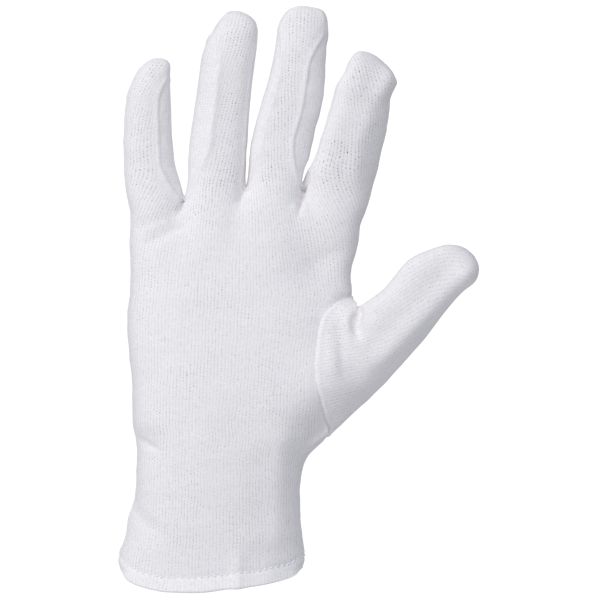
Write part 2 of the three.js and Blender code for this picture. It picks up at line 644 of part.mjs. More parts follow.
function buildSkin() {
  const skin = new Skin();
  const rowCount = wristRows + openingRows + knuckleRows;
  const grid = (facing) =>
    Array.from({ length: rowCount + 1 }, (_, row) =>
      row === rowCount ? rootRow(facing) : bodyRow(row, facing),
    );
  const palmGrid = grid(-1);
  const backGrid = grid(1);
  skin.addGrid("palm_panel", palmGrid);
  skin.addGrid("back_panel", backGrid, true);

  fingers.forEach((_, i) => {
    const start = i * columnsPerFinger;
    const rowsOf = (part, bottom) => {
      const rows = [bottom.slice(start, start + columnsPerFinger + 1)];
      for (let row = 1; row <= fingerRows; row++) rows.push(fingerRow(i, row, part));
      return rows;
    };
    skin.addGrid("palm_panel", rowsOf("palm", palmGrid.at(-1)));
    skin.addGrid("back_panel", rowsOf("back", backGrid.at(-1)), true);
  });

  for (let i = 0; i + 1 < fingers.length; i++) {
    const strip = [];
    for (let row = stripEndRow; row > 0; row--) strip.push(fingerRow(i, row, "right"));
    strip.push(partingRow(i));
    for (let row = 1; row <= stripEndRow; row++) strip.push(fingerRow(i + 1, row, "left"));
    skin.addGrid(`side_strip_${fingers[i].name}_${fingers[i + 1].name}`, strip, true);
  }

  const front = palmGrid.slice(wristRows, wristRows + openingRows + 1).map((row) => row.at(-1));
  const back = backGrid.slice(wristRows, wristRows + openingRows + 1).map((row) => row.at(-1));
  const loop = [...front.reverse(), ...back.slice(1, -1)];
  thumb.root = meanOf(front[0], front.at(-1));
  const thumbGrid = thumbPoints(loop).map((row) => [...row, row[0]]);
  skin.addGrid("thumb_tube", thumbGrid);
  const hemLine = [...palmGrid[0], ...backGrid[0].slice(1, -1).reverse()];
  return { skin, hemLine };
}

// White bleached cotton, matt and slightly cool
const cottonColour = 0xe9e8ee;
const cottonRoughness = 0.95;

function clothMesh(name, geometry) {
  const material = new THREE.MeshStandardMaterial({
    color: cottonColour,
    roughness: cottonRoughness,
    metalness: 0,
  });
  const mesh = new THREE.Mesh(geometry, material);
  mesh.name = name;
  return mesh;
}

function buildGlove() {
  placeFingers();
  shares.palm = columnShares(-1);
  shares.back = columnShares(1);
  const { skin, hemLine } = buildSkin();
  const hemIds = hemLine.map((p) => skin.id(p));
  foldSkin(skin);
  const normals = skin.normals();
  const glove = new THREE.Group();
  for (const [name, faces] of skin.panels)
    glove.add(clothMesh(name, panelGeometry(skin, normals, faces)));
  const ring = hemIds.map((id) => skin.points[id]);
  const outward = hemIds.map((id) => normals[id].clone().setZ(0).normalize());
  glove.add(clothMesh("cuff_hem", hemGeometry(ring, outward)));
  return glove;
}

export default buildGlove();
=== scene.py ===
import math
import bmesh
import bpy
from mathutils import Matrix, Vector, kdtree, noise


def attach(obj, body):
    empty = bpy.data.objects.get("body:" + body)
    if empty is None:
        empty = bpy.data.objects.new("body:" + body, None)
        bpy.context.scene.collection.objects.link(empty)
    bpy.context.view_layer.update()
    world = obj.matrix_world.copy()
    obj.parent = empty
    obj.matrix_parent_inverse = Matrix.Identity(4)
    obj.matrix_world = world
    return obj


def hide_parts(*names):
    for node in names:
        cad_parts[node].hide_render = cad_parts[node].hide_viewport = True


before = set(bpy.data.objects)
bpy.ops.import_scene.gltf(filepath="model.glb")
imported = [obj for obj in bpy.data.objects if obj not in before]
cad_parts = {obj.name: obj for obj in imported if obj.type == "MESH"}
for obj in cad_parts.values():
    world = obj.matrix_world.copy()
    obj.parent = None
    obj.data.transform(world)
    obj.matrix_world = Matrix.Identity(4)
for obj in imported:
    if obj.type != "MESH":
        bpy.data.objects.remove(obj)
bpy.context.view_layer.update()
mm = 0.001

# Each piece of cloth, the node it stands for and what it is called here. rise is the direction
# in which the ribs of the knit run, None for along the piece, and wall the thickness of the
# node's plain rim.
panels = {
    "palm_panel": {"piece": "palm_cloth", "rise": (0, 0, 1), "wall": 1.2, "slot": "cotton_knit"},
    "back_panel": {"piece": "back_cloth", "rise": (0, 0, 1), "wall": 1.2, "slot": "cotton_knit"},
    "side_strip_little_ring": {"piece": "strip_cloth_little_ring", "rise": None, "wall": 1.2,
                               "slot": "cotton_knit"},
    "side_strip_ring_middle": {"piece": "strip_cloth_ring_middle", "rise": None, "wall": 1.2,
                               "slot": "cotton_knit"},
    "side_strip_middle_index": {"piece": "strip_cloth_middle_index", "rise": None, "wall": 1.2,
                                "slot": "cotton_knit"},
    "thumb_tube": {"piece": "thumb_cloth", "rise": (0.783, 0, 0.622), "wall": 1.2,
                   "slot": "cotton_knit"},
    "cuff_hem": {"piece": "hem_cloth", "rise": (0, 0, 1), "wall": 2.4, "slot": "cotton_hem"},
}
panelOrder = list(panels)
handIndexes = {panelOrder.index("palm_panel"), panelOrder.index("back_panel")}
stripIndexes = {i for i, nodeName in enumerate(panelOrder) if nodeName.startswith("side_strip")}
thumbIndex = panelOrder.index("thumb_tube")
hemIndex = panelOrder.index("cuff_hem")


# Small helpers for selecting and editing
def selectOnly(*pieces):
    if bpy.context.object and bpy.context.object.mode != "OBJECT":
        bpy.ops.object.mode_set(mode="OBJECT")
    bpy.ops.object.select_all(action="DESELECT")
    for piece in pieces:
        piece.select_set(True)
    bpy.context.view_layer.objects.active = pieces[0]


def openForEdit(piece):
    selectOnly(piece)
    bpy.ops.object.mode_set(mode="EDIT")
    bpy.ops.mesh.select_all(action="DESELECT")


def selectParts(piece, kind, test):
    bpy.ops.mesh.select_mode(type=kind)
    shape = bmesh.from_edit_mesh(piece.data)
    parts = {"VERT": shape.verts, "EDGE": shape.edges, "FACE": shape.faces}[kind]
    for part in parts:
        part.select_set(bool(test(part)))
    shape.select_flush_mode()
    bmesh.update_edit_mesh(piece.data)


def applyModifier(piece, kind, **settings):
    selectOnly(piece)
    modifier = piece.modifiers.new(kind.lower(), kind)
    for name, value in settings.items():
        setattr(modifier, name, value)
    bpy.ops.object.modifier_apply(modifier=modifier.name)


def smoothStep(low, high, value):
    s = min(1, max(0, (value - low) / (high - low)))
    return s * s * (3 - 2 * s)


# How the nodes' shells become one sheet
joining = {
    "rimSlack": 0.002,      # mm by which an edge of the rim may differ from the wall
    "samePoint": 0.01,      # mm under which two points of a shell are one
    "widestCorner": 158,    # degrees, above which a quad is left as two triangles
    "acrossSeam": 0.6,      # mm under which points on both sides of a seam are joined
}


# A face of the rim has an edge as long as the wall is thick, and so have two of its neighbours
def spansWall(face, wall):
    return any(abs(edge.calc_length() - wall) < joining["rimSlack"] * mm for edge in face.edges)


def onRim(face, wall):
    sides = [other for edge in face.edges for other in edge.link_faces if other is not face]
    return spansWall(face, wall) and sum(spansWall(other, wall) for other in sides) > 1


# The outer face of a node's cloth, without its rim and its inner face
def outerSheet(nodeName):
    wall = panels[nodeName]["wall"] * mm
    sheet = bpy.data.objects.new(nodeName + "_sheet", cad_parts[nodeName].data.copy())
    bpy.context.scene.collection.objects.link(sheet)
    sheet.data.materials.clear()
    sheet.data.materials.append(bpy.data.materials.new(nodeName))
    sheet.data.polygons.foreach_set("material_index", [0] * len(sheet.data.polygons))
    openForEdit(sheet)
    bpy.ops.mesh.customdata_custom_splitnormals_clear()
    bpy.ops.mesh.select_all(action="SELECT")
    bpy.ops.mesh.remove_doubles(threshold=joining["samePoint"] * mm)
    selectParts(sheet, "FACE", lambda face: onRim(face, wall))
    bpy.ops.mesh.delete(type="FACE")
    bpy.ops.mesh.select_all(action="SELECT")
    bpy.ops.mesh.tris_convert_to_quads(face_threshold=math.pi, shape_threshold=math.pi)
    selectParts(sheet, "FACE", lambda face: max(
        corner.calc_angle() for corner in face.loops) > math.radians(joining["widestCorner"]))
    bpy.ops.mesh.quads_convert_to_tris()
    bpy.ops.mesh.select_all(action="SELECT")
    bpy.ops.mesh.separate(type="LOOSE")
    bpy.ops.object.mode_set(mode="OBJECT")
    faces = sorted(bpy.context.selected_objects,
                   key=lambda part: sum(face.area for face in part.data.polygons))
    outer = faces.pop()
    if faces:
        selectOnly(*faces)
        bpy.ops.object.delete()
    return outer


# One closed skin for the whole glove, each face marked with its panel
def joinSkin():
    sheets = [outerSheet(nodeName) for nodeName in panelOrder]
    selectOnly(*sheets)
    bpy.ops.object.join()
    skin = bpy.context.object
    skin.name = "glove_skin"
    bpy.ops.object.mode_set(mode="EDIT")
    bpy.ops.mesh.select_mode(type="VERT")
    bpy.ops.mesh.select_all(action="DESELECT")
    bpy.ops.mesh.select_non_manifold(extend=False, use_wire=False, use_boundary=True,
                                     use_multi_face=False, use_non_contiguous=False,
                                     use_verts=False)
    bpy.ops.mesh.remove_doubles(threshold=joining["acrossSeam"] * mm)
    bpy.ops.object.mode_set(mode="OBJECT")
    return skin


skin = joinSkin()
check = bmesh.new()
check.from_mesh(skin.data)
print("skin joined:", len(skin.data.polygons), "faces,", sum(e.is_boundary for e in check.edges),
      "open edges,", sum(len(e.link_faces) > 2 for e in check.edges), "bad edges,",
      sum(len(f.verts) == 3 for f in check.faces), "triangles")
check.free()


# Where a straight cut ends: where no edge leads on, or at a point where many edges meet
cutEnds = {"straightness": 0.5, "edges": 7}


def panelsAt(vertex):
    return {face.material_index for face in vertex.link_faces}


# Marks a cut that starts at a seam and runs straight on through one panel
def cutStraight(start, panel):
    edge = next(e for e in start.link_edges
                if all(face.material_index == panel for face in e.link_faces))
    vertex = edge.other_vert(start)
    while True:
        edge.seam = True
        heading = (vertex.co - edge.other_vert(vertex).co).normalized()
        ahead = [(heading.dot((e.other_vert(vertex).co - vertex.co).normalized()), e)
                 for e in vertex.link_edges if e is not edge]
        straightness, following = max(ahead, key=lambda pair: pair[0])
        pole = len(vertex.link_edges) > cutEnds["edges"]
        leaves = any(face.material_index != panel for face in following.link_faces)
        if straightness < cutEnds["straightness"] or pole or leaves:
            return
        edge, vertex = following, following.other_vert(vertex)


# Cuts the skin along its seams, opens the thumb and the hem along a line, and lays it flat
def layFlat(skin):
    openForEdit(skin)
    shape = bmesh.from_edit_mesh(skin.data)
    for edge in shape.edges:
        sides = {face.material_index for face in edge.link_faces}
        edge.seam = len(sides) == 2 and hemIndex not in sides
    sideSeams = [v for v in shape.verts if handIndexes <= panelsAt(v)]
    for vertex in sideSeams:
        if hemIndex in panelsAt(vertex):
            cutStraight(vertex, hemIndex)
    low = min((v for v in sideSeams if thumbIndex in panelsAt(v)), key=lambda v: v.co.z)
    cutStraight(low, thumbIndex)
    bmesh.update_edit_mesh(skin.data)
    bpy.ops.mesh.select_all(action="SELECT")
    bpy.ops.uv.unwrap(method="MINIMUM_STRETCH", margin=0.01)
    bpy.ops.object.mode_set(mode="OBJECT")


layFlat(skin)
print("skin laid flat")

# Where each finger springs from the hand and how it leans, as in the frame
fingers = {
    "little": {"root": (-21.8, 150.6), "lean": 0.2},
    "ring": {"root": (2.0, 154.1), "lean": 6.1},
    "middle": {"root": (25.6, 153.7), "lean": 8.9},
    "index": {"root": (49.4, 148.1), "lean": 12.0},
}
ribs = {
    "fingersFrom": 140.0,       # mm up the glove, above which the cloth belongs to a finger
    "turnsFrom": 4.0,           # mm above a finger's root, where the ribs start to follow it
    "turnsUntil": 26.0,
    "lowSpan": (-3.0, 8.0),     # mm above the root: two stretches that show how the finger lies
    "highSpan": (36.0, 50.0),
}


# The flat pieces of cloth: groups of faces with no cut between them
def flatPieces(shape):
    waiting = set(shape.faces)
    while waiting:
        piece = [waiting.pop()]
        for face in piece:
            for edge in face.edges:
                if edge.seam:
                    continue
                for other in edge.link_faces:
                    if other in waiting:
                        waiting.remove(other)
                        piece.append(other)
        yield piece


# Scales a flat piece to millimetres and turns it so that the ribs run up it, or along it where
# no direction is given
def sizePiece(piece, layer, rise):
    loops = [loop for face in piece for loop in face.loops]
    real = sum(face.calc_area() for face in piece) / mm ** 2
    flat = 0
    for face in piece:
        places = [loop[layer].uv for loop in face.loops]
        flat += abs(sum(a.x * b.y - b.x * a.y for a, b in zip(places, places[1:] + places[:1]))) / 2
    scale = math.sqrt(real / flat)
    middle = sum((loop[layer].uv for loop in loops), Vector((0, 0))) / len(loops)
    level = sum(rise.dot(loop.vert.co) for loop in loops) / len(loops) if rise else 0
    xx = xy = yy = xa = ya = 0
    for loop in loops:
        away = loop[layer].uv - middle
        up = rise.dot(loop.vert.co) - level if rise else 0
        xx += away.x * away.x
        xy += away.x * away.y
        yy += away.y * away.y
        xa += away.x * up
        ya += away.y * up
    if rise:
        upward = Vector((xa * yy - ya * xy, ya * xx - xa * xy)).normalized()
    else:
        turn = math.atan2(2 * xy, xx - yy) / 2
        upward = Vector((math.cos(turn), math.sin(turn)))
    for loop in loops:
        away = (loop[layer].uv - middle) * scale
        loop[layer].uv = (away.x * upward.y - away.y * upward.x, away.dot(upward))


# The finger whose middle line runs nearest
def nearestFinger(place):
    def gap(finger):
        lean = math.radians(finger["lean"])
        x = place.x / mm - finger["root"][0]
        z = place.z / mm - finger["root"][1]
        return abs(x * math.cos(lean) - z * math.sin(lean))
    return min(fingers, key=lambda name: gap(fingers[name]))


# Turns the ribs gently from the hand's direction to each finger's
def straightenFingers(piece, layer):
    members = {name: [] for name in fingers}
    for face in piece:
        for loop in face.loops:
            place = loop.vert.co
            if place.z > ribs["fingersFrom"] * mm:
                members[nearestFinger(place)].append(loop)
    for name, loops in members.items():
        finger = fingers[name]
        lean = math.radians(finger["lean"])
        along = Vector((math.sin(lean), 0, math.cos(lean)))
        root = Vector((finger["root"][0], 0, finger["root"][1])) * mm
        height = {loop: (loop.vert.co - root).dot(along) / mm for loop in loops}
        low, high = [[loop[layer].uv for loop in loops if start < height[loop] < end]
                     for start, end in (ribs["lowSpan"], ribs["highSpan"])]
        lowPlace = sum((uv.copy() for uv in low), Vector((0, 0))) / len(low)
        highPlace = sum((uv.copy() for uv in high), Vector((0, 0))) / len(high)
        axis = (highPlace - lowPlace).normalized()
        sine, cosine = axis.x, axis.y
        start, span = ribs["turnsFrom"], ribs["turnsUntil"] - ribs["turnsFrom"]
        moved = {}
        for loop in loops:
            if height[loop] < start:
                continue
            away = loop[layer].uv - lowPlace
            a = away.dot(axis)
            c = away.x * cosine - away.y * sine
            t = min(1, max(0, (a - start) / span))
            held = min(a, start) + (t - t * t / 2) * span
            u = c * (cosine + (1 - cosine) * t) + sine * held
            v = a - c * sine * (1 - t)
            moved[loop] = lowPlace + Vector((u, v))
        for loop, place in moved.items():
            loop[layer].uv = place


# Lays the ribs of the knit on every flat piece, from the panel that makes up most of it
def alignRibs(skin):
    shape = bmesh.new()
    shape.from_mesh(skin.data)
    layer = shape.loops.layers.uv.active
    for piece in flatPieces(shape):
        kinds = [face.material_index for face in piece]
        main = max(set(kinds) - {hemIndex} or {hemIndex}, key=kinds.count)
        rise = panels[panelOrder[main]]["rise"]
        sizePiece(piece, layer, Vector(rise) if rise else None)
        if main in handIndexes:
            straightenFingers(piece, layer)
    shape.to_mesh(skin.data)
    shape.free()


alignRibs(skin)
print("ribs of the knit follow the fingers")


# The panels that are sewn together at an edge, apart from the hem
def sewnAt(edge):
    return {face.material_index for face in edge.link_faces} - {hemIndex}


# Keeps the seams of the strips and the thumb even: their curve then runs along the seam alone
def creaseSeams(skin):
    openForEdit(skin)
    selectParts(skin, "EDGE", lambda edge: len(sewnAt(edge)) > 1 and sewnAt(edge) - handIndexes)
    bpy.ops.transform.edge_crease(value=1.0)
    bpy.ops.object.mode_set(mode="OBJECT")


# Each round moves a point by the share strength of its gap, and never by more than the share
# reach of its shortest edge
cageFit = {"rounds": 3, "strength": 0.7, "reach": 0.3}
smoothLevels = 3


# Moves the cage out so that the smooth surface passes close to the frame's own points. Where
# the faces are small a point moves only a little, so that none turns over.
def keepSize(skin, rounds, strength, reach):
    wanted = [vertex.co.copy() for vertex in skin.data.vertices]
    room = [1.0] * len(wanted)
    for edge in skin.data.edges:
        a, b = edge.vertices
        length = (wanted[a] - wanted[b]).length * reach
        room[a] = min(room[a], length)
        room[b] = min(room[b], length)
    for _ in range(rounds):
        modifier = skin.modifiers.new("smooth", "SUBSURF")
        modifier.levels = 1
        graph = bpy.context.evaluated_depsgraph_get()
        smooth = skin.evaluated_get(graph).to_mesh()
        gaps = [goal - smooth.vertices[i].co for i, goal in enumerate(wanted)]
        skin.evaluated_get(graph).to_mesh_clear()
        skin.modifiers.remove(modifier)
        for i, vertex in enumerate(skin.data.vertices):
            moved = vertex.co + gaps[i] * strength - wanted[i]
            if moved.length > room[i]:
                moved = moved.normalized() * room[i]
            vertex.co = wanted[i] + moved
    return sum(gap.length for gap in gaps) / len(gaps)


creaseSeams(skin)
print("cage fitted, mean gap left in mm:", round(keepSize(skin, **cageFit) / mm, 3))
applyModifier(skin, "SUBSURF", levels=smoothLevels, render_levels=smoothLevels)
print("skin smoothed:", len(skin.data.polygons), "faces")

# Creases and soft rises of the worn cloth, in millimetres across and up. deep is below 0 where
# the cloth rises.
creases = {
    "palm": [
        # the fold below the little finger and the soft rise beside it
        {"path": [(-9.0, 145.5), (-17.0, 142.0), (-30.0, 135.5)], "deep": 0.8, "wide": 1.8},
        {"path": [(-15.0, 147.6), (-24.0, 143.5), (-32.5, 139.0)], "deep": -0.45, "wide": 2.0},
        # below the index finger, at the side of the hand
        {"path": [(44.0, 132.0), (50.0, 133.6), (62.0, 137.0)], "deep": 0.22, "wide": 2.6},
        {"path": [(38.0, 131.0), (47.0, 126.0), (57.0, 118.0)], "deep": 0.6, "wide": 3.5},
        # the nick at the wrist and the fold at the cuff, below the little finger
        {"path": [(-35.0, 60.0), (-29.0, 57.0), (-20.0, 52.0)], "deep": 1.2, "wide": 1.3},
        {"path": [(-38.0, 34.0), (-31.0, 27.0), (-22.0, 18.5)], "deep": 0.9, "wide": 2.8},
        # the step in the hem
        {"path": [(11.4, 14.0), (11.4, 3.0), (11.2, -9.0)], "deep": -1.0, "wide": 3.6},
        {"path": [(13.6, 14.0), (13.3, 3.0), (13.0, -9.0)], "deep": 0.15, "wide": 1.2},
        # the forks between the fingers
        {"path": [(-10.6, 163.0), (-11.8, 155.5), (-13.4, 148.5)], "deep": 1.5, "wide": 0.9},
        {"path": [(14.6, 167.0), (13.2, 158.0), (11.0, 151.0)], "deep": 0.7, "wide": 1.1},
        {"path": [(40.2, 169.0), (37.8, 158.5), (35.6, 147.5)], "deep": 1.7, "wide": 0.95},
        # the full front of the index finger, lower and upper half
        {"path": [(57.0, 156.0), (61.0, 180.0), (67.5, 197.0)], "deep": -1.1, "wide": 4.0},
        {"path": [(66.0, 193.0), (73.0, 206.0), (78.0, 219.0)], "deep": -2.0, "wide": 3.5},
        # the full front of the cuff on the thumb's side, of the ring and of the middle finger
        {"path": [(30.0, 64.0), (27.0, 40.0), (27.0, 6.0)], "deep": -0.8, "wide": 4.5},
        {"path": [(5.5, 226.0), (1.0, 192.0), (-2.5, 166.0)], "deep": -0.8, "wide": 3.0},
        {"path": [(31.0, 226.0), (24.0, 192.0), (19.0, 166.0)], "deep": -0.5, "wide": 3.0},
    ],
    "thumb": [
        # the deep fold at the thumb's root and the rise beside it
        {"path": [(60.2, 118.0), (59.0, 108.0), (59.4, 96.0)], "deep": 2.3, "wide": 2.2},
        {"path": [(51.5, 115.5), (55.0, 106.5), (58.2, 95.0)], "deep": -0.7, "wide": 1.6},
        # the shallow fold inside the thumb's seam and the rise beside it
        {"path": [(51.0, 106.0), (53.0, 96.0), (54.4, 80.0)], "deep": 0.55, "wide": 1.7},
        {"path": [(47.5, 100.0), (49.5, 92.0), (51.0, 83.0)], "deep": -0.3, "wide": 1.8},
        # the full front of the thumb, from root to tip
        {"path": [(62.0, 84.0), (80.0, 101.0), (112.0, 134.0)], "deep": -2.4, "wide": 4.5},
        # the dip inside the lower end of the seam
        {"path": [(44.2, 79.5), (45.8, 71.0), (47.6, 61.0)], "deep": 0.45, "wide": 1.1},
    ],
}
# Where the cloth lies otherwise than smooth shells would, in mm: all of it, or its front only.
# push goes across, back and up.
nudges = [
    # the web between the thumb and the hand
    {"at": (56.5, 110.6), "reach": 3.0, "push": (3.3, 0.0, 2.0), "front": False},
    {"at": (56.1, 112.5), "reach": 4.5, "push": (0.0, 2.2, 0.0), "front": True},
    # the heel of the hand below the thumb, and the cuff on that side
    {"at": (47.0, 61.5), "reach": 6.5, "push": (0.0, 1.4, 0.0), "front": True},
    {"at": (32.0, 3.0), "reach": 7.0, "push": (0.0, 1.2, 0.0), "front": True},
    {"at": (43.5, 58.0), "reach": 10.0, "push": (0.0, 4.6, 0.0), "front": True},
    # the thumb's tip and its ball, and the palm above it
    {"at": (106.5, 123.5), "reach": 7.0, "push": (0.0, -3.2, 0.0), "front": True},
    {"at": (47.0, 82.0), "reach": 11.0, "push": (0.0, -4.0, 0.0), "front": True},
    {"at": (42.5, 127.0), "reach": 8.0, "push": (0.0, 1.6, 0.0), "front": True},
    # the corner at the tip of the index finger and the two corners of the hem
    {"at": (75.8, 203.3), "reach": 2.2, "push": (0.8, -0.4, 0.2), "front": False},
    {"at": (-38.4, 2.5), "reach": 3.0, "push": (1.2, 0.0, 0.8), "front": False},
    {"at": (38.4, 3.3), "reach": 3.0, "push": (-1.2, 0.0, 0.8), "front": False},
    # the forks between the fingers, from the little finger to the index finger
    {"at": (-10.9, 159.0), "reach": 3.0, "push": (-0.4, 0.0, -2.0), "front": False},
    {"at": (-10.9, 155.4), "reach": 1.8, "push": (0.0, 2.5, 0.0), "front": True},
    {"at": (-12.5, 151.7), "reach": 1.5, "push": (0.0, 1.5, 0.0), "front": True},
    {"at": (12.9, 158.6), "reach": 2.0, "push": (0.0, 1.2, 0.0), "front": True},
    {"at": (37.6, 159.5), "reach": 1.6, "push": (0.0, 3.0, 0.0), "front": True},
    {"at": (37.0, 156.6), "reach": 1.4, "push": (0.0, 2.6, 0.0), "front": True},
    {"at": (36.3, 153.6), "reach": 1.3, "push": (0.0, 2.2, 0.0), "front": True},
    # the upper side of the thumb
    {"at": (95.0, 127.0), "reach": 9.0, "push": (0.0, 1.0, 0.0), "front": True},
]
# The waves of the worn cloth. Each has its height and its length in mm, and those that run
# across the glove have a length each way.
wear = {
    "seed": 3.7,
    "broadWave": 0.45, "broadSize": 19.0,
    "crossWave": 0.28, "crossSize": (17.0, 12.0, 6.5),
    "smallWave": 0.07, "smallSize": 5.0,
    "pucker": 0.2, "puckerSize": 3.0, "puckerReach": 3.5,    # beside the seams alone
}
# How tightly the cloth is drawn, in shares, and over how many mm this changes
drawn = {
    "patch": 0.55, "patchVaries": 0.6, "patchSize": 13.0,
    "hand": 0.55, "fingersMore": 0.45, "thumbLess": 0.35,
    "fingersFrom": (140, 160), "thumbFrom": (50, 62),
    "beside": 0.15, "turnsAway": (0.55, 0.97),    # where a finger's side turns away
    "sideFingersFrom": 150, "sideThumbFrom": 62,
    "nearSeam": (1.5, 6.0), "nearHem": (2.0, 6.0),
}

# How the cloth lies beside a seam, in mm. The turned edges inside lift one side into a ridge,
# the other side sinks a little, and the two meet in a fine groove.
seamShapes = {
    "ridge": {"lift": 0.42, "at": 1.4, "width": 1.1, "sink": 0.0, "sinkWidth": 0.8},
    "sunk": {"lift": 0.0, "at": 2.0, "width": 1.0, "sink": 0.12, "sinkWidth": 2.0},
    "even": {"lift": 0.22, "at": 1.4, "width": 0.9, "sink": 0.15, "sinkWidth": 0.9},
}
seamGroove = {"depth": 0.1, "width": 0.5, "low": 0.1, "settles": 0.9, "calmEnd": 6.0,
              "cuts": 1}

# The machine stitches that hold the hem, in mm. A thread stands proud of the cloth in its
# middle and sinks into it at its ends.
hemStitch = {"pitch": 2.7, "length": 1.75, "thread": 0.27, "proud": 0.16, "sinks": 0.5,
             "sides": 6, "steps": 4, "dip": 0.3, "dipWidth": 1.1}


def seamKind(panel, neighbour):
    if panel == thumbIndex:
        return "ridge"
    if panel in stripIndexes or neighbour == thumbIndex:
        return "sunk"
    return "ridge" if neighbour in stripIndexes else "even"


# How far a place is from a path, and how far along the path its nearest point lies, from 0 to 1
def besidePath(x, z, path):
    nearest = (math.inf, 0)
    for i, (start, end) in enumerate(zip(path, path[1:])):
        dx, dz = end[0] - start[0], end[1] - start[1]
        s = min(1, max(0, ((x - start[0]) * dx + (z - start[1]) * dz) / (dx * dx + dz * dz)))
        away = math.hypot(x - start[0] - s * dx, z - start[1] - s * dz)
        nearest = min(nearest, (away, (i + s) / (len(path) - 1)))
    return nearest


def treeOf(points):
    tree = kdtree.KDTree(len(points))
    for i, point in enumerate(points):
        tree.insert(point, i)
    tree.balance()
    return tree


# For each panel and each panel sewn to it, a tree of the points along that seam
def seamTrees(shape):
    places = {}
    for vertex in shape.verts:
        owners = panelsAt(vertex) - {hemIndex}
        for panel in owners:
            for neighbour in owners - {panel}:
                places.setdefault((panel, neighbour), []).append(vertex.co)
    return {pair: treeOf(points) for pair, points in places.items()}


# The points where a strip runs out between palm and back, at the tip of a finger
def stripEnds(shape):
    return treeOf([v.co for v in shape.verts
                   if handIndexes <= panelsAt(v) and panelsAt(v) & stripIndexes])


# The line round the cuff where the hem is stitched down
def hemLine(shape):
    return [v for v in shape.verts if hemIndex in panelsAt(v) and len(panelsAt(v)) > 1]


# How far a point is lifted by its nearest seam, and how far away that seam is, in mm
def seamLift(place, owners, trees):
    away, panel, neighbour = min(((tree.find(place)[2] / mm, *pair)
                                  for pair, tree in trees.items() if pair[0] in owners),
                                 default=(99, 0, 0))
    form = seamShapes[seamKind(panel, neighbour)]
    side = form["lift"] * math.exp(-((away - form["at"]) / form["width"]) ** 2)
    side -= form["sink"] * math.exp(-(away / form["sinkWidth"]) ** 2)
    settled = smoothStep(0, seamGroove["settles"], away)
    groove = seamGroove["depth"] * math.exp(-(away / seamGroove["width"]) ** 2)
    return side * settled - seamGroove["low"] * (1 - settled) - groove, away


# A crease fades out towards both its ends, and where the cloth turns away from the front
def creaseLift(place, facing, area):
    lift = 0
    for crease in creases[area]:
        away, along = besidePath(place.x, place.z, crease["path"])
        away /= crease["wide"]
        if away < 3:
            fade = smoothStep(-0.05, 0.3, along) * smoothStep(1.05, 0.7, along)
            lift -= crease["deep"] * fade * math.exp(-away * away) * facing
    return lift


def nudgeAt(place, facing):
    move = Vector()
    for nudge in nudges:
        away = math.hypot(place.x - nudge["at"][0], place.z - nudge["at"][1]) / nudge["reach"]
        if away < 3:
            share = facing if nudge["front"] else 1
            move += Vector(nudge["push"]) * share * math.exp(-away * away)
    return move


# How tightly the cloth is drawn, from 0 to 1: little beside the seams and at the sides of the
# fingers, and in uneven patches elsewhere
# The shader uses this to set how much painted shade the pinholes of the knit get
def stretchAt(place, normal, away, seed):
    varied = noise.noise(place / drawn["patchSize"] + 2 * seed)
    patch = min(1, max(0, drawn["patch"] + drawn["patchVaries"] * varied))
    finger = smoothStep(*drawn["fingersFrom"], place.z)
    thumb = smoothStep(*drawn["thumbFrom"], place.x) * (1 - finger)
    tight = drawn["hand"] + drawn["fingersMore"] * finger - drawn["thumbLess"] * thumb
    facing = 1
    if place.z > drawn["sideFingersFrom"] or place.x > drawn["sideThumbFrom"]:
        facing = smoothStep(*drawn["turnsAway"], abs(normal.y))
    side = drawn["beside"] + (1 - drawn["beside"]) * facing
    seam = smoothStep(*drawn["nearSeam"], away)
    hem = smoothStep(*drawn["nearHem"], place.z)
    return patch * tight * side * seam * hem


# Divides the faces beside the seams more finely, then lays the cloth in its waves, creases
# and seam ridges
def shapeCloth(skin):
    openForEdit(skin)
    selectParts(skin, "EDGE", lambda edge: sum(
        len(panelsAt(v) - {hemIndex}) > 1 for v in edge.verts) == 1)
    bpy.ops.mesh.subdivide(number_cuts=seamGroove["cuts"], smoothness=0)
    bpy.ops.object.mode_set(mode="OBJECT")
    shape = bmesh.new()
    shape.from_mesh(skin.data)
    shape.normal_update()
    trees = seamTrees(shape)
    ends = stripEnds(shape)
    stitched = treeOf([vertex.co for vertex in hemLine(shape)])
    tightness = shape.verts.layers.float.new("stretch")
    seed = Vector((wear["seed"], -wear["seed"], 2 * wear["seed"]))
    moves = []
    for vertex in shape.verts:
        place = vertex.co / mm
        owners = panelsAt(vertex)
        cross = Vector(p / size for p, size in zip(place, wear["crossSize"]))
        lift = wear["broadWave"] * noise.noise(place / wear["broadSize"] + seed)
        lift += wear["crossWave"] * noise.noise(cross - seed)
        lift += wear["smallWave"] * noise.noise(place / wear["smallSize"] + seed)
        facing = smoothStep(0, 0.75, -vertex.normal.y)
        lift += creaseLift(place, facing, "thumb" if thumbIndex in owners else "palm")
        seam, away = seamLift(vertex.co, owners, trees)
        rumple = noise.noise(place / wear["puckerSize"] + seed)
        lift += seam + wear["pucker"] * rumple * math.exp(-(away / wear["puckerReach"]) ** 2)
        lift *= smoothStep(1.5, seamGroove["calmEnd"], ends.find(vertex.co)[2] / mm)
        dip = stitched.find(vertex.co)[2] / mm / hemStitch["dipWidth"]
        lift -= hemStitch["dip"] * math.exp(-dip * dip)
        moves.append((vertex.normal * lift + nudgeAt(place, facing)) * mm)
        vertex[tightness] = stretchAt(place, vertex.normal, away, seed)
    for vertex, move in zip(shape.verts, moves):
        vertex.co += move
    shape.to_mesh(skin.data)
    shape.free()


shapeCloth(skin)
print("waves, creases and seams shaped:", len(skin.data.polygons), "faces")


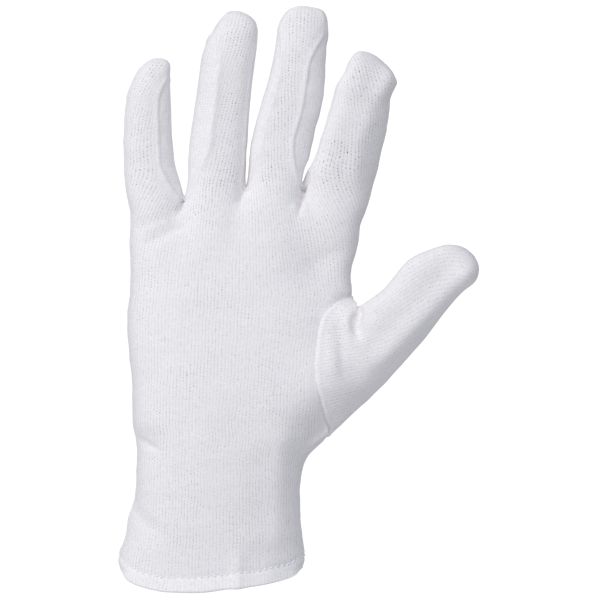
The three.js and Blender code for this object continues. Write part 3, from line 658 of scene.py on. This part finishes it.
# One stitch: a short round thread along X whose ends go down into the cloth
def threadStitch():
    shape = bmesh.new()
    rings = []
    for step in range(hemStitch["steps"] + 1):
        s = 2 * step / hemStitch["steps"] - 1
        height = hemStitch["proud"] - hemStitch["sinks"] * s ** 4
        middle = Vector((s * hemStitch["length"] / 2, 0, height))
        rings.append([shape.verts.new((middle + hemStitch["thread"] * Vector(
            (0, math.cos(turn), math.sin(turn)))) * mm) for turn in (
                2 * math.pi * side / hemStitch["sides"] for side in range(hemStitch["sides"]))])
    for low, high in zip(rings, rings[1:]):
        for side in range(hemStitch["sides"]):
            following = (side + 1) % hemStitch["sides"]
            shape.faces.new((low[side], high[side], high[following], low[following]))
    shape.faces.new(rings[0])
    shape.faces.new(reversed(rings[-1]))
    bmesh.ops.recalc_face_normals(shape, faces=shape.faces)
    stitch = bpy.data.objects.new("hem_stitches", bpy.data.meshes.new("hem_stitches"))
    shape.to_mesh(stitch.data)
    shape.free()
    bpy.context.scene.collection.objects.link(stitch)
    return stitch


# Copies the stitch round the hem line and joins the copies
def stitchHem(skin):
    shape = bmesh.new()
    shape.from_mesh(skin.data)
    shape.normal_update()
    line = [(v.co.copy(), v.normal.copy()) for v in hemLine(shape)]
    shape.free()
    line.sort(key=lambda pair: math.atan2(pair[0].y, pair[0].x))
    reached = [0]
    for (a, _), (b, _) in zip(line, line[1:] + line[:1]):
        reached.append(reached[-1] + (b - a).length)
    count = round(reached[-1] / (hemStitch["pitch"] * mm))
    stitches = [threadStitch()]
    for i in range(1, count):
        stitches.append(stitches[0].copy())
        stitches[-1].data = stitches[0].data.copy()
        bpy.context.scene.collection.objects.link(stitches[-1])
    for i, stitch in enumerate(stitches):
        goal = reached[-1] * i / count
        k = next(j for j in range(len(line)) if reached[j + 1] > goal)
        (a, outward), (b, _) = line[k], line[(k + 1) % len(line)]
        along = (b - a).normalized()
        outward = (outward - along * outward.dot(along)).normalized()
        turned = Matrix((along, outward.cross(along), outward)).transposed().to_4x4()
        place = a + (b - a) * ((goal - reached[k]) / (reached[k + 1] - reached[k]))
        stitch.data.transform(Matrix.Translation(place) @ turned)
    selectOnly(*stitches)
    bpy.ops.object.join()
    bpy.ops.object.shade_smooth()
    print("hem stitches:", count)
    return stitches[0]


stitches = stitchHem(skin)

wall = {
    "thickness": 1.05,   # mm of cotton jersey
    "kept": 0.62,        # the share of the faces that is left once the inner face is coarser
    "sharp": 50,         # degrees, above which an edge isn't shaded smooth
}


# Cuts the skin into its pieces of cloth, each kept under its node's name
def splitPanels(skin):
    selectOnly(skin)
    bpy.ops.object.mode_set(mode="EDIT")
    bpy.ops.mesh.select_all(action="SELECT")
    bpy.ops.mesh.separate(type="MATERIAL")
    bpy.ops.object.mode_set(mode="OBJECT")
    pieces = {}
    for piece in list(bpy.context.selected_objects):
        used = piece.data.polygons[0].material_index
        nodeName = piece.material_slots[used].material.name
        piece.data.polygons.foreach_set("material_index", [0] * len(piece.data.polygons))
        piece.data.materials.clear()
        piece.name = panels[nodeName]["piece"]
        piece.data.name = piece.name
        pieces[nodeName] = piece
    return pieces


# Closes the hem into a ring, its turned edge against the cloth inside
def closeHem(piece):
    openForEdit(piece)
    selectParts(piece, "EDGE", lambda edge: edge.is_boundary)
    bpy.ops.mesh.bridge_edge_loops()
    bpy.ops.mesh.select_all(action="SELECT")
    bpy.ops.mesh.normals_make_consistent(inside=False)
    bpy.ops.object.mode_set(mode="OBJECT")


# Gives the cloth its wall, with an inner face that is coarser because nobody sees it close
def thicken(piece):
    piece.vertex_groups.new(name="inside")
    applyModifier(piece, "SOLIDIFY", thickness=wall["thickness"] * mm, offset=-1,
                  shell_vertex_group="inside")
    applyModifier(piece, "DECIMATE", ratio=wall["kept"], vertex_group="inside")
    piece.vertex_groups.clear()


pieces = splitPanels(skin)
for nodeName, piece in pieces.items():
    if nodeName == "cuff_hem":
        closeHem(piece)
    else:
        thicken(piece)
    selectOnly(piece)
    bpy.ops.object.shade_smooth_by_angle(angle=math.radians(wall["sharp"]))
    print(piece.name, sum(len(face.vertices) - 2 for face in piece.data.polygons), "triangles")


# Materials
def linearColour(hexColour):
    parts = [int(hexColour[i:i + 2], 16) / 255 for i in (1, 3, 5)]
    return [c / 12.92 if c <= 0.04045 else ((c + 0.055) / 1.055) ** 2.4 for c in parts] + [1]


def addNode(tree, kind, links=None, **settings):
    node = tree.nodes.new(kind)
    for name, value in settings.items():
        setattr(node, name, value)
    for key, value in (links or {}).items():
        if isinstance(value, bpy.types.NodeSocket):
            tree.links.new(value, node.inputs[key])
        else:
            node.inputs[key].default_value = value
    return node


jersey = {
    "wale": 1.36,           # mm from rib to rib
    "course": 1.1,          # mm from row to row
    "yarn": "#f3f4f6",
    "blush": "#f5f0f2",
    "hem": "#fafafc",
    "hemBlush": "#faf7f9",
    "gapFrom": 0.27,        # where a gap between two ribs starts and is full, as shares
    "gapFull": 0.46,
    "spotPower": 1.4,       # how short a pinhole is up the cloth
    "holeShade": 0.62,          # how dark the painted shade in the pinholes is where the cloth is tight
    "slackHoles": 0.28,     # the same where it is slack, as a share
    "oneHole": (1.1, 0.45),    # how far single pinholes differ, and the least of them
    "relief": 0.04,         # mm
    "roughness": 0.95,
    "shine": 0.2,
    "fuzz": 0.1,            # the short loose fibres on the yarn
    "fuzzRoughness": 0.5,
}


# Bleached cotton jersey, knitted plain: rows of pinholes between upright ribs, darkened with
# painted shade for the dim inside seen through them, with the cloth brighter from hole to hole.
# They show most where the cloth is drawn tight. It is quite matt, finely grained, slightly uneven
# in tone and faintly pink in places.
def cottonJersey(name, yarn, blush):
    material = bpy.data.materials.new(name)
    material.use_nodes = True
    tree = material.node_tree
    shader = next(node for node in tree.nodes if node.type == "BSDF_PRINCIPLED")

    def calc(operation, a, b=0.0, c=0.0):
        return addNode(tree, "ShaderNodeMath", {0: a, 1: b, 2: c}, operation=operation).outputs[0]

    def cloud(scale, detail, low, high):
        grain = addNode(tree, "ShaderNodeTexNoise", {
            "Vector": flat.outputs[0], "Scale": scale, "Detail": detail, "Roughness": 0.6})
        return addNode(tree, "ShaderNodeMapRange", {
            0: grain.outputs[0], 1: 0.3, 2: 0.7, 3: low, 4: high}).outputs[0]

    flat = addNode(tree, "ShaderNodeUVMap", uv_map="UVMap")
    split = addNode(tree, "ShaderNodeSeparateXYZ", {0: flat.outputs[0]})
    tight = addNode(tree, "ShaderNodeAttribute", attribute_name="stretch").outputs["Fac"]
    across = calc("ADD", calc("DIVIDE", split.outputs[0], jersey["wale"]), cloud(
        0.12, 1.0, -0.2, 0.2))
    upward = calc("ADD", calc("DIVIDE", split.outputs[1], jersey["course"]), cloud(
        0.3, 1.0, -0.4, 0.4))
    fromRib = calc("ABSOLUTE", calc("SUBTRACT", calc("FRACT", across), 0.5))
    gap = addNode(tree, "ShaderNodeMapRange", {
        0: fromRib, 1: jersey["gapFrom"], 2: jersey["gapFull"]},
        interpolation_type="SMOOTHSTEP").outputs[0]
    column = calc("FLOOR", calc("ADD", across, 0.5))
    staggered = calc("MULTIPLY_ADD", column, 0.5, upward)
    row = calc("MULTIPLY_ADD", calc("SINE", calc("MULTIPLY", staggered, 2 * math.pi)), 0.5, 0.5)
    spot = calc("POWER", row, jersey["spotPower"])
    cell = addNode(tree, "ShaderNodeCombineXYZ", {0: column, 1: calc("FLOOR", staggered)})
    uneven = addNode(tree, "ShaderNodeTexWhiteNoise", {"Vector": cell.outputs[0]}).outputs["Value"]
    opened = calc("MULTIPLY", calc("MULTIPLY_ADD", tight, 1 - jersey["slackHoles"],
                                  jersey["slackHoles"]), cloud(0.45, 3.0, 0.3, 1.35))
    opened = calc("MULTIPLY", opened, calc("MULTIPLY_ADD", uneven, *jersey["oneHole"]))
    hole = calc("MULTIPLY", calc("MULTIPLY", gap, spot), opened)
    tint = addNode(tree, "ShaderNodeMix", {
        0: cloud(0.5, 2.0, 0.0, 1.0), 6: linearColour(yarn), 7: linearColour(blush)},
        data_type="RGBA")
    tone = calc("MULTIPLY", cloud(0.6, 4.0, 0.95, 1.02), cloud(2.4, 2.0, 0.9, 1.085))
    # Painted shade: the pinholes darken the colour, standing in for the dim inside of the glove
    # seen through the knit
    tone = calc("MULTIPLY", tone, calc("MULTIPLY_ADD", hole, -jersey["holeShade"], 1.0))
    shade = addNode(tree, "ShaderNodeHueSaturation", {"Color": tint.outputs[2], "Value": tone})
    height = calc("SUBTRACT", cloud(1.6, 3.0, 0.0, 1.0), hole)
    bump = addNode(tree, "ShaderNodeBump", {"Height": height, "Distance": jersey["relief"] * mm,
                                            "Strength": 1.0})
    tree.links.new(shade.outputs[0], shader.inputs["Base Color"])
    tree.links.new(bump.outputs[0], shader.inputs["Normal"])
    shader.inputs["Roughness"].default_value = jersey["roughness"]
    shader.inputs["Specular IOR Level"].default_value = jersey["shine"]
    shader.inputs["Sheen Weight"].default_value = jersey["fuzz"]
    shader.inputs["Sheen Roughness"].default_value = jersey["fuzzRoughness"]
    return material


knitCloth = cottonJersey("bleached cotton jersey", jersey["yarn"], jersey["blush"])
# Two layers of the same cloth let less light through, so the hem looks whiter
doubledCloth = cottonJersey("bleached cotton jersey turned double", jersey["hem"],
                            jersey["hemBlush"])
for nodeName, piece in pieces.items():
    piece.data.materials.append(doubledCloth if nodeName == "cuff_hem" else knitCloth)
    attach(piece, "root")
    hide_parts(nodeName)

for nodeName in panelOrder:
    bpy.data.materials.remove(bpy.data.materials[nodeName])

threadLook = {"bright": "#fbfbfd", "dull": "#efeff4", "grain": 900, "roughness": 0.8}

# Bleached sewing thread: a little smoother and brighter than the cloth, finely streaked
sewingThread = bpy.data.materials.new("bleached sewing thread")
sewingThread.use_nodes = True
thread = next(node for node in sewingThread.node_tree.nodes if node.type == "BSDF_PRINCIPLED")
strand = addNode(sewingThread.node_tree, "ShaderNodeTexNoise", {
    "Scale": threadLook["grain"], "Detail": 2.0})
strandColour = addNode(sewingThread.node_tree, "ShaderNodeMix", {
    0: strand.outputs[0], 6: linearColour(threadLook["bright"]),
    7: linearColour(threadLook["dull"])}, data_type="RGBA")
sewingThread.node_tree.links.new(strandColour.outputs[2], thread.inputs["Base Color"])
thread.inputs["Roughness"].default_value = threadLook["roughness"]
stitches.data.materials.append(sewingThread)
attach(stitches, "root")

# Camera, floor and light, in metres
view = {
    "distance": 3.0,
    "centre": (0.0364, 0, 0.1143),
    "frameHeight": 0.2466,
    "sensor": 36,           # mm
    "farthest": 20,
}
camera = bpy.data.objects.new("camera", bpy.data.cameras.new("camera"))
bpy.context.scene.collection.objects.link(camera)
camera.location = Vector(view["centre"]) - Vector((0, view["distance"], 0))
camera.rotation_euler = (math.radians(90), 0, 0)
camera.data.sensor_width = view["sensor"]
camera.data.lens = view["sensor"] * view["distance"] / view["frameHeight"]
camera.data.clip_end = view["farthest"]
bpy.context.scene.camera = camera

ground = {"height": -0.15, "width": 6.0, "colour": "#f0f0f0", "roughness": 0.9}
selectOnly(camera)
bpy.ops.mesh.primitive_plane_add(size=ground["width"], location=(0, 0, ground["height"]))
floor = bpy.context.object
floor.name = "pale_floor"
paleFloor = bpy.data.materials.new("pale studio floor")
paleFloor.use_nodes = True
paint = next(node for node in paleFloor.node_tree.nodes if node.type == "BSDF_PRINCIPLED")
paint.inputs["Base Color"].default_value = linearColour(ground["colour"])
paint.inputs["Roughness"].default_value = ground["roughness"]
floor.data.materials.append(paleFloor)

light = {
    "surround": 1.1,         # what the camera sees round the glove
    "surroundColour": "#ffffff",
    "ambient": 0.405,        # what falls on the cloth from all sides
    "ambientColour": "#f1f5ff",
    "key": {"place": (-1.25, -1.37, 0.8), "size": 0.9, "power": 15.0, "colour": "#fffefc"},
    "upper": {"place": (0.2, -1.17, 1.65), "size": 1.0, "power": 9.4, "colour": "#ffffff"},
}


def softLamp(name, place, size, power, colour):
    lamp = bpy.data.objects.new(name, bpy.data.lights.new(name, "AREA"))
    bpy.context.scene.collection.objects.link(lamp)
    lamp.location = place
    lamp.data.size = size
    lamp.data.energy = power
    lamp.data.color = linearColour(colour)[:3]
    aim = Vector(view["centre"]) - Vector(place)
    lamp.rotation_euler = aim.to_track_quat("-Z", "Y").to_euler()


softLamp("key_lamp", **light["key"])
softLamp("upper_lamp", **light["upper"])

# A white surround for the camera, and a dimmer even light from it on the cloth
world = bpy.data.worlds.new("white surround")
bpy.context.scene.world = world
world.use_nodes = True
sky = world.node_tree
surround = next(node for node in sky.nodes if node.type == "OUTPUT_WORLD")
seen = addNode(sky, "ShaderNodeBackground", {"Color": linearColour(light["surroundColour"]),
                                             "Strength": light["surround"]})
lit = addNode(sky, "ShaderNodeBackground", {"Color": linearColour(light["ambientColour"]),
                                            "Strength": light["ambient"]})
path = addNode(sky, "ShaderNodeLightPath")
both = addNode(sky, "ShaderNodeMixShader", {0: path.outputs["Is Camera Ray"], 1: lit.outputs[0],
                                            2: seen.outputs[0]})
sky.links.new(both.outputs[0], surround.inputs[0])
bpy.context.scene.view_settings.view_transform = "Standard"
print("stage, lights and camera set")
